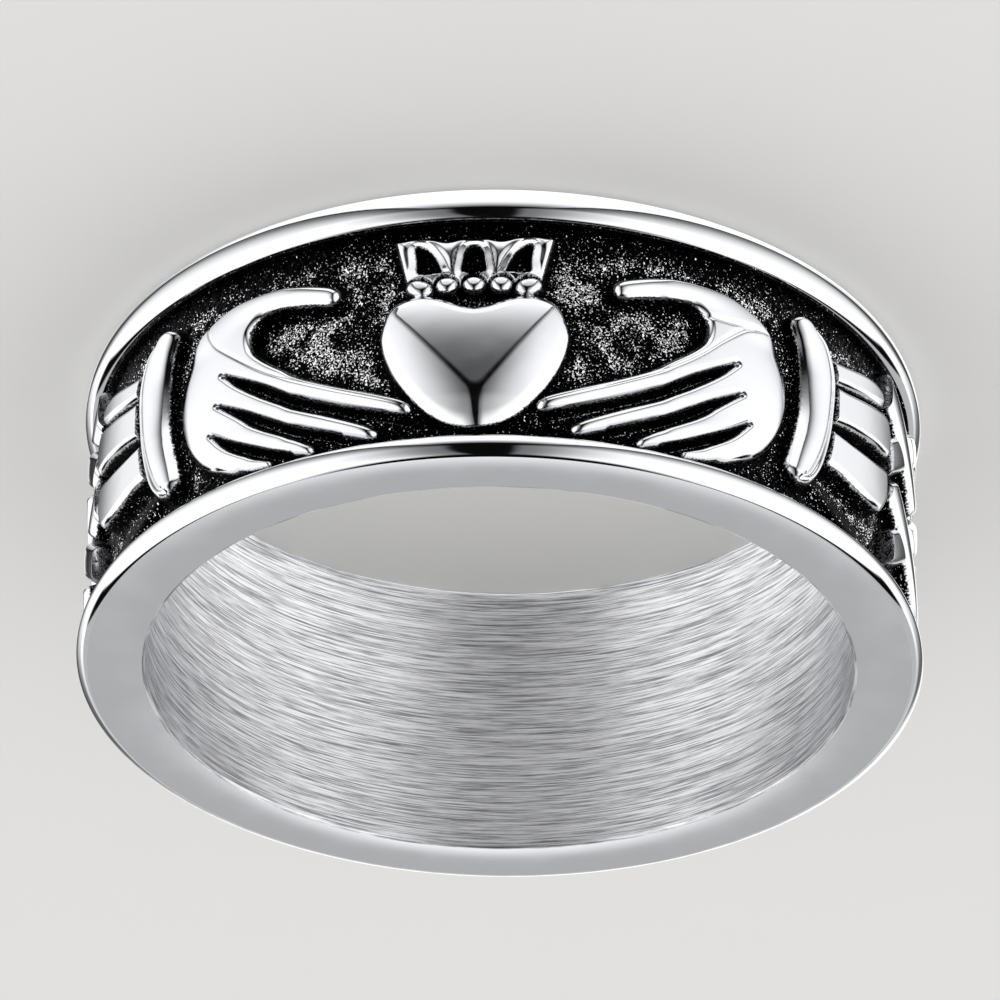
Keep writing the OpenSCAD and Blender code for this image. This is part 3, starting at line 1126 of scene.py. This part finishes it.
def build_mesh(
    name: str,
    points: np.ndarray,
    faces: np.ndarray,
    normals: np.ndarray | None = None,
    values: dict[str, np.ndarray] | None = None,
) -> bpy.types.Object:
    """Makes a smooth piece from points and quads.

    Args:
        name: the piece's name.
        points: places in metres, one row each.
        faces: four point numbers a row.
        normals: the surface's direction at each point, where it is known.
        values: a number at each point, by the name that its finish reads.

    Returns:
        The piece, in the scene.
    """
    mesh = bpy.data.meshes.new(name)
    mesh.vertices.add(len(points))
    mesh.vertices.foreach_set("co", points.astype(np.float32).ravel())
    mesh.loops.add(faces.size)
    mesh.loops.foreach_set("vertex_index", faces.astype(np.int32).ravel())
    mesh.polygons.add(len(faces))
    mesh.polygons.foreach_set("loop_start", np.arange(0, faces.size, 4, dtype=np.int32))
    mesh.polygons.foreach_set("use_smooth", np.ones(len(faces), bool))
    mesh.update(calc_edges=True)
    mesh.validate()
    if normals is not None:
        mesh.normals_split_custom_set_from_vertices(normals.astype(np.float32))
    for key, numbers in (values or {}).items():
        layer = mesh.attributes.new(key, "FLOAT", "POINT")
        layer.data.foreach_set("value", numbers.astype(np.float32).ravel())
    piece = bpy.data.objects.new(name, mesh)
    bpy.context.scene.collection.objects.link(piece)
    return piece


def declare(piece: bpy.types.Object, material: bpy.types.Material) -> None:
    """Dresses a piece, hangs it under the body and hides the solid that it replaces.

    Args:
        piece: the piece.
        material: its finish.
    """
    piece.data.materials.append(material)
    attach(piece, BODY)
    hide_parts(NODE)
    LOG.info("%s: %d faces, %s", piece.name, len(piece.data.polygons), material.name)


@dataclass(frozen=True)
class Band:
    """The band: bore, flat faces, rims and the side walls of the channel, all turned about Z."""

    section: Section
    turns: int = 480
    face_steps: int = 10
    rim_steps: int = 24
    wall_steps: int = 9
    bore_steps: int = 14
    bevel_steps: int = 6
    # How far the surface leans, in degrees: a face from its inner edge to its outer one, and a rim
    face_dish: tuple[float, float] = (-8.0, 6.0)
    rim_lean: float = 66.0
    # How far up the wall the polish ends, and how far the wall goes below the floor
    wall_polish: float = 0.2
    wall_tuck: float = 0.05

    def turned(
        self,
        name: str,
        profile: np.ndarray,
        lean: np.ndarray | None = None,
        within: np.ndarray | None = None,
    ) -> bpy.types.Object:
        """Turns a profile about the axis.

        Args:
            name: the piece's name.
            profile: radius and height of each point, with the metal on the left as it runs.
            lean: the surface's direction at each point as radius and height, where it is known.
            within: how far inside the polish each point is, where the finish asks for it.

        Returns:
            The piece.
        """
        angle = np.arange(self.turns) / self.turns * 2 * math.pi
        cos, sin = np.cos(angle), np.sin(angle)

        def spun(rows: np.ndarray) -> np.ndarray:
            """Turns rows about the axis.

            Args:
                rows: a radius and a height each.

            Returns:
                A place for each, at every angle.
            """
            radius, height = rows.T
            height = np.broadcast_to(height, (self.turns, len(rows)))
            return np.stack([np.outer(cos, radius), np.outer(sin, radius), height], -1).reshape(-1, 3)

        n = len(profile)
        i, j = np.meshgrid(np.arange(self.turns), np.arange(n - 1), indexing="ij")
        near, far = i * n + j, (i + 1) % self.turns * n + j
        faces = np.stack([near, far, far + 1, near + 1], -1).reshape(-1, 4)
        values = None
        if within is not None:
            # A wall gets no share clear of painted shade, so it gets the fewest bright grains
            values = {WITHIN: np.tile(within, self.turns), UNSHADED: np.zeros(self.turns * n)}
        return build_mesh(name, spun(profile) * MM, faces, None if lean is None else spun(lean), values)

    def rim_profile(self, rim: Rim) -> tuple[np.ndarray, np.ndarray]:
        """A rim's profile, rounded from the face's edge up to its top and on to the channel.

        Polishing evens out a rim's curve, so its directions turn steadily and stop short of the
        face's and of the wall's.

        Args:
            rim: the rim.

        Returns:
            Radius and distance from the face, and the surface's direction.
        """
        s = self.section
        turn = np.radians(np.linspace(0, 90, self.rim_steps))
        shoulder = np.stack(
            [s.outer_r - s.shoulder_t * (1 - np.sin(turn)), rim.shoulder * (1 - np.cos(turn))], -1
        )
        turn = turn[1:]
        reach = rim.shoulder + (rim.width - rim.shoulder) * np.sin(turn)
        rounding = np.stack([s.outer_r - s.rim_t * (1 - np.cos(turn)), reach], -1)
        lean = np.radians(np.linspace(-self.rim_lean, self.rim_lean, 2 * self.rim_steps - 1))
        return np.concatenate([shoulder, rounding]), np.stack([np.cos(lean), np.sin(lean)], -1)

    def ends(self, finishes: dict[str, bpy.types.Material]) -> None:
        """Builds and dresses the faces, rims and walls of both ends.

        Args:
            finishes: the materials, by the part of the band that they cover.
        """
        s = self.section
        radius = np.linspace(s.bore_r + s.bevel, s.outer_r - s.shoulder_t, self.face_steps)
        face = np.stack([radius, np.zeros(self.face_steps)], -1)
        # The polishing wheel leaves the faces domed, too little to model, so their normals alone carry it
        tilt = np.radians(np.linspace(*self.face_dish, self.face_steps))
        dome = np.stack([np.sin(tilt), -np.cos(tilt)], -1)
        radius = np.linspace(s.outer_r - s.rim_t, s.floor_r - self.wall_tuck, self.wall_steps)
        within = radius - s.floor_r - self.wall_polish
        for end, rim, upper in (("lower", s.crown_rim, False), ("upper", s.tip_rim, True)):
            wall = np.stack([radius, np.full(self.wall_steps, rim.width)], -1)
            for part, profile, lean, inner in (
                ("face", face, dome, None),
                ("rim", *self.rim_profile(rim), None),
                ("wall", wall, None, within),
            ):
                if upper:
                    profile = (profile * (1, -1) + (0, s.width))[::-1]
                    lean = None if lean is None else (lean * (1, -1))[::-1]
                    inner = None if inner is None else inner[::-1]
                declare(self.turned(f"{end}_{part}", profile, lean, inner), finishes[part])

    def bore(self, material: bpy.types.Material) -> None:
        """Builds and dresses the bore with the bevel at both its ends.

        Args:
            material: its finish.
        """
        s = self.section
        turn = np.radians(np.linspace(0, 90, self.bevel_steps))
        lip = np.stack([s.bore_r + s.bevel * (1 - np.sin(turn)), s.bevel * (1 - np.cos(turn))], -1)
        height = np.linspace(s.bevel, s.width - s.bevel, self.bore_steps)
        tube = np.stack([np.full(self.bore_steps, s.bore_r), height], -1)
        whole = np.concatenate([lip, tube[1:-1], (lip * (1, -1) + (0, s.width))[::-1]])
        declare(self.turned("bore", whole[::-1]), material)


@dataclass(frozen=True)
class Relief:
    """The channel's floor with everything cast on it, as a few patches of one fine grid."""

    section: Section
    forms: tuple[Form, ...]
    back_forms: tuple[Form, ...]
    front_end: float = 13.9
    rows: int = 250
    front_step: float = 0.026
    back_step: float = 0.08
    # Pits of the cast floor: depth, size, and the height above the floor where they end
    pits: float = 0.012
    pit_size: float = 0.04
    pits_end: float = 0.2
    tuck: float = 0.03
    seed: int = 9
    # Where the painted shade of fewer bright grains ends and how far it fades, by a form's wall and by a
    # rim
    form_shade: tuple[float, float] = (0.07, 0.4)
    rim_shade: tuple[float, float] = (0.2, 0.9)

    def all_forms(self, grid: Grid, forms: tuple[Form, ...]) -> Raised:
        """Casts forms on a grid and pits the floor between them.

        Args:
            grid: places in the channel.
            forms: what is cast there.

        Returns:
            All the forms as one.
        """
        found = Raised(np.zeros(grid.shape), np.full(grid.shape, -FAR))
        for form in forms:
            found = found.join(form.cast(grid))
        noise = grid.blur(np.random.default_rng(self.seed).standard_normal(grid.shape), self.pit_size)
        bare = 1 - smooth(found.height / self.pits_end)
        pitted = found.height + self.pits * noise / noise.std() * bare
        return Raised(pitted, found.depth)

    def surface(self, grid: Grid, height: np.ndarray) -> np.ndarray:
        """Rounds the ring out of a flat grid.

        Args:
            grid: places in the channel.
            height: the height at each of them.

        Returns:
            A place in millimetres for each.
        """
        x, y = grid.places()
        angle = x / self.section.relief_r
        radius = self.section.floor_r + height
        up = self.section.width / 2 - y
        return np.stack([-radius * np.sin(angle), -radius * np.cos(angle), up], -1)

    def unshaded_share(self, grid: Grid, depth: np.ndarray) -> np.ndarray:
        """How clear the floor is of painted shade: 0 by a form or a rim, where fewer bright grains are
        drawn, and 1 in the clear.

        Args:
            grid: places in the channel.
            depth: distance inside the forms' outlines.

        Returns:
            The share at each place.
        """
        _, y = grid.places()
        low, high = self.section.channel
        rim = np.minimum(y - low, high - y)
        by_form = smooth((-depth - self.form_shade[0]) / self.form_shade[1])
        by_rim = smooth((rim - self.rim_shade[0]) / self.rim_shade[1])
        return by_form * by_rim

    def normals(self, points: np.ndarray) -> np.ndarray:
        """The surface's direction at each place, from its neighbours.

        Args:
            points: the places, rows by columns.

        Returns:
            A direction of length 1 for each.
        """
        along = np.gradient(points, axis=1)
        across = np.gradient(points, axis=0)
        found = np.cross(across, along)
        return found / np.linalg.norm(found, axis=-1, keepdims=True)

    def patch(
        self,
        name: str,
        points: np.ndarray,
        normals: np.ndarray,
        values: dict[str, np.ndarray],
        material: bpy.types.Material,
    ) -> None:
        """Makes one piece from a block of the grid.

        Args:
            name: the piece's name.
            points: its places, rows by columns.
            normals: the surface's direction there.
            values: the numbers that its finish reads there.
            material: its finish.
        """
        rows, cols = points.shape[:2]
        i, j = np.meshgrid(np.arange(rows - 1), np.arange(cols - 1), indexing="ij")
        a = i * cols + j
        faces = np.stack([a, a + cols, a + cols + 1, a + 1], -1).reshape(-1, 4)
        piece = build_mesh(name, points.reshape(-1, 3) * MM, faces, normals.reshape(-1, 3), values)
        declare(piece, material)

    def make(self, material: bpy.types.Material) -> None:
        """Builds and dresses the patches.

        Args:
            material: the finish of the relief.
        """
        low, high = self.section.channel
        y = np.linspace(low - self.tuck, high + self.tuck, self.rows)
        half = round(self.front_end / self.front_step)
        front = Grid(np.linspace(-self.front_end, self.front_end, 2 * half + 1), y)
        around = 2 * math.pi * self.section.relief_r
        count = round((around - 2 * self.front_end) / self.back_step)
        back = Grid(np.linspace(self.front_end, around - self.front_end, count + 1), y)
        for grid, forms, names in (
            (front, self.forms, ("left_hand", "heart_and_crown", "right_hand")),
            (back, self.back_forms, ("plait_right", "plait_left")),
        ):
            cast = self.all_forms(grid, forms)
            points = self.surface(grid, cast.height)
            normals = self.normals(points)
            # Fewer bright grains by forms and rims: painted shade
            values = {WITHIN: cast.depth, UNSHADED: self.unshaded_share(grid, cast.depth)}
            cuts = np.linspace(0, len(grid.x) - 1, len(names) + 1).astype(int)
            for name, start, end in zip(names, cuts[:-1], cuts[1:]):
                part = slice(start, end + 1)
                cut = {key: numbers[:, part] for key, numbers in values.items()}
                self.patch(name, points[:, part], normals[:, part], cut, material)


class Reading(Enum):
    """What the light tent's brightness goes by, for the way in which a sight line leaves."""

    ROUND = "degrees round the ring from the slot in front"
    SUNK = "degrees below the floor's level"
    SLOPE = "how far below the floor's level it meets an upright wall at either side"


@dataclass(frozen=True)
class Fade:
    """An eased change of brightness: the readings where it starts and ends, and the share at both."""

    reading: Reading
    low: float
    high: float
    start: float = 0.0
    end: float = 1.0


@dataclass(frozen=True)
class Studio:
    """A pale floor, a tent of soft light with a dark slot for the camera, and the camera."""

    floor_size: float = 6.0
    floor_colour: str = "#e6e5e3"
    floor_shade: str = "#d8d7d4"
    floor_mottle_mm: float = 3.0
    # The camera: lens in millimetres, then degrees, then millimetres, and its aim in pixels
    lens: float = 348.3
    sensor: float = 36.0
    tip: float = 58.54
    roll: float = -0.86
    turn: float = -4.1
    distance: float = 254.47
    aim: tuple[float, float] = (-1.37, 42.41)
    pixel: float = 0.0263019
    # How far the slot is turned aside, the brightness of the panels, and the least there is
    slot_turn: float = 1.2
    panel: float = 1.45
    rear: float = 0.62
    patch: float = 0.95
    plain: float = 0.9
    least: float = 0.004
    # Keeps the slope of a sight line straight ahead from growing without end
    least_aside: float = 0.001
    # The slot has a sharp edge and then a soft one
    slot_edge: tuple[Fade, ...] = (Fade(Reading.ROUND, 7.0, 11.0, 0.0, 0.16),)
    slot_side: tuple[Fade, ...] = (Fade(Reading.ROUND, 10.0, 42.0, 0.0, 0.84),)
    # A dark gap between the sides and the rear, above the floor's level
    gap: tuple[Fade, ...] = (Fade(Reading.ROUND, 117.0, 121.0), Fade(Reading.SUNK, -8.0, -2.0, 1.0, 0.0))
    side_fades: tuple[Fade, ...] = (
        Fade(Reading.SUNK, -74.0, -60.0),
        Fade(Reading.SLOPE, 0.35, 1.95, 1.0, 0.14),
        Fade(Reading.ROUND, 126.0, 156.0, 1.0, 0.12),
        Fade(Reading.SLOPE, 1.95, 2.1, 1.0, 0.0),
    )
    under_fades: tuple[Fade, ...] = (Fade(Reading.SUNK, 27.0, 57.0), Fade(Reading.SLOPE, 2.18, 2.34))
    # Beyond the ring the light from under it reaches up to the floor's level
    beyond_fades: tuple[Fade, ...] = (Fade(Reading.SUNK, 2.0, 12.0), Fade(Reading.ROUND, 160.0, 172.0))
    rear_fades: tuple[Fade, ...] = (
        Fade(Reading.ROUND, 131.0, 134.0),
        Fade(Reading.SUNK, 0.0, 8.0, 1.0, 0.0),
        Fade(Reading.SUNK, -76.0, -72.0),
    )
    patch_fades: tuple[Fade, ...] = (
        Fade(Reading.ROUND, 150.0, 168.0),
        Fade(Reading.SUNK, -48.0, -33.0, 1.0, 0.0),
        Fade(Reading.SUNK, -80.0, -70.0),
    )

    def floor(self) -> None:
        """Builds the floor, which takes no part in reflections."""
        mesh = bpy.data.meshes.new("floor")
        shape = bmesh.new()
        bmesh.ops.create_grid(shape, x_segments=1, y_segments=1, size=self.floor_size / 2)
        shape.to_mesh(mesh)
        shape.free()
        floor = bpy.data.objects.new("floor", mesh)
        bpy.context.scene.collection.objects.link(floor)
        material, node, place = blank("matt_paper")
        mottle = node("TexNoise", {"Vector": place, "Scale": scale(self.floor_mottle_mm), "Detail": 3.0})
        tone = node("MapRange", {0: mottle, 1: 0.2, 2: 0.8, 3: 0.0, 4: 0.04}, **EASED)
        tints = {0: tone, 6: linear(self.floor_colour), 7: linear(self.floor_shade)}
        colour = node("Mix", tints, data_type="RGBA").outputs[2]
        surface = {"Base Color": colour, "Roughness": 0.9, "Specular IOR Level": 0.1}
        node("OutputMaterial", {"Surface": node("BsdfPrincipled", surface)})
        mesh.materials.append(material)
        floor.visible_glossy = False
        floor.visible_shadow = False

    def light(self) -> None:
        """Builds the light tent as the world, so that a polished ring has something to mirror."""
        world = bpy.data.worlds.new("light_tent")
        bpy.context.scene.world = world
        world.use_nodes = True
        world.node_tree.nodes.clear()
        node = partial(add, world.node_tree)
        way = node("SeparateXYZ", {0: node("TexCoord", {}).outputs["Generated"]}).outputs
        right, front, down = (node("Math", {0: axis, 1: -1.0}, operation="MULTIPLY") for axis in way[:3])
        degrees = 180 / math.pi
        azimuth = node("Math", {0: right, 1: front}, operation="ARCTAN2")
        azimuth = node("Math", {0: azimuth, 1: degrees, 2: self.slot_turn}, operation="MULTIPLY_ADD")
        sunk = node("Math", {0: down}, operation="ARCSINE")
        aside = node("Math", {0: right}, operation="ABSOLUTE")
        aside = node("Math", {0: aside, 1: self.least_aside}, operation="MAXIMUM")
        readings = {
            Reading.ROUND: node("Math", {0: azimuth}, operation="ABSOLUTE"),
            Reading.SUNK: node("Math", {0: sunk, 1: degrees}, operation="MULTIPLY"),
            Reading.SLOPE: node("Math", {0: down, 1: aside}, operation="DIVIDE"),
        }

        def glow(fades: Iterable[Fade], whole: Any = 1.0) -> bpy.types.Node:
            """Dims a brightness.

            Args:
                fades: what dims it.
                whole: the brightness before.

            Returns:
                The node that gives the brightness left.
            """
            for fade in fades:
                span = {1: fade.low, 2: fade.high, 3: fade.start, 4: fade.end}
                share = node("MapRange", {0: readings[fade.reading], **span}, **EASED)
                whole = node("Math", {0: whole, 1: share}, operation="MULTIPLY")
            return whole

        open_share = node("Math", {0: 1.0, 1: glow(self.gap)}, operation="SUBTRACT")
        sides = node("Math", {0: glow(self.slot_edge), 1: glow(self.slot_side)}, operation="ADD")
        sides = node("Math", {0: sides, 1: open_share}, operation="MULTIPLY")
        sides = glow(self.side_fades, sides)
        under = node("Math", {0: glow(self.under_fades), 1: glow(self.beyond_fades)}, operation="MAXIMUM")
        panels = node("Math", {0: sides, 1: under}, operation="ADD")
        back = glow(self.rear_fades, self.rear)
        back = node("Math", {0: glow(self.patch_fades), 1: self.patch, 2: back}, operation="MULTIPLY_ADD")
        tent = node("Math", {0: panels, 1: self.panel, 2: back}, operation="MULTIPLY_ADD")
        tent = node("Math", {0: tent, 1: self.least}, operation="ADD")
        # The paper is lit from all round, and so is the background
        path = node("LightPath", {}).outputs
        plain = {0: path["Is Camera Ray"], 1: path["Is Diffuse Ray"]}
        plain = node("Math", plain, operation="MAXIMUM")
        strength = node("Mix", {0: plain, 2: tent, 3: self.plain}, data_type="FLOAT")
        lamp = node("Background", {"Color": linear("#ffffff"), "Strength": strength})
        node("OutputWorld", {"Surface": lamp})

    def camera(self) -> None:
        """Sets the camera at the photo's angle: above the floor and turned over, so the crown is up."""
        tip, roll, turn = (math.radians(v) for v in (self.tip, self.roll, self.turn))
        side = Vector((-math.cos(turn), -math.sin(turn), 0))
        ahead = Vector((math.sin(turn), -math.cos(turn), 0))
        top = Vector((0, 0, 1))
        away = math.sin(tip) * ahead + math.cos(tip) * top
        rise = math.cos(tip) * ahead - math.sin(tip) * top
        right = math.cos(roll) * side - math.sin(roll) * rise
        up = math.sin(roll) * side + math.cos(roll) * rise
        shift = (right * self.aim[0] + up * self.aim[1]) * self.pixel
        place = (Vector((0, 0, Section().width / 2)) + away * self.distance + shift) * MM
        data = bpy.data.cameras.new("camera")
        data.lens = self.lens
        data.sensor_width = self.sensor
        data.clip_start = 0.01
        camera = bpy.data.objects.new("camera", data)
        camera.matrix_world = Matrix(((*right, 0), (*up, 0), (*away, 0), (*place, 1))).transposed()
        bpy.context.scene.collection.objects.link(camera)
        bpy.context.scene.camera = camera


def main() -> None:
    """Builds the ring and its studio."""
    logging.basicConfig(level=logging.INFO, format="%(name)s: %(message)s")
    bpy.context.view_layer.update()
    section = Section()
    cast = CastSteel().make()
    finishes = {
        "face": SatinSteel().make(),
        "rim": PolishedSteel().make(),
        "wall": cast,
    }
    band = Band(section)
    band.ends(finishes)
    band.bore(BrushedSteel().make())
    forms = [Heart(), Crown()]
    for side in Side:
        cuff = Cuff(side)
        forms += [Hand(side), cuff, Sleeve(side, cuff)]
    Relief(section, tuple(forms + [Plait()]), (Plait(),)).make(cast)
    studio = Studio()
    studio.floor()
    studio.light()
    studio.camera()
    scene = bpy.context.scene
    scene.view_settings.view_transform = "Standard"
    scene.view_settings.look = "None"


if __name__ == "__main__":
    main()
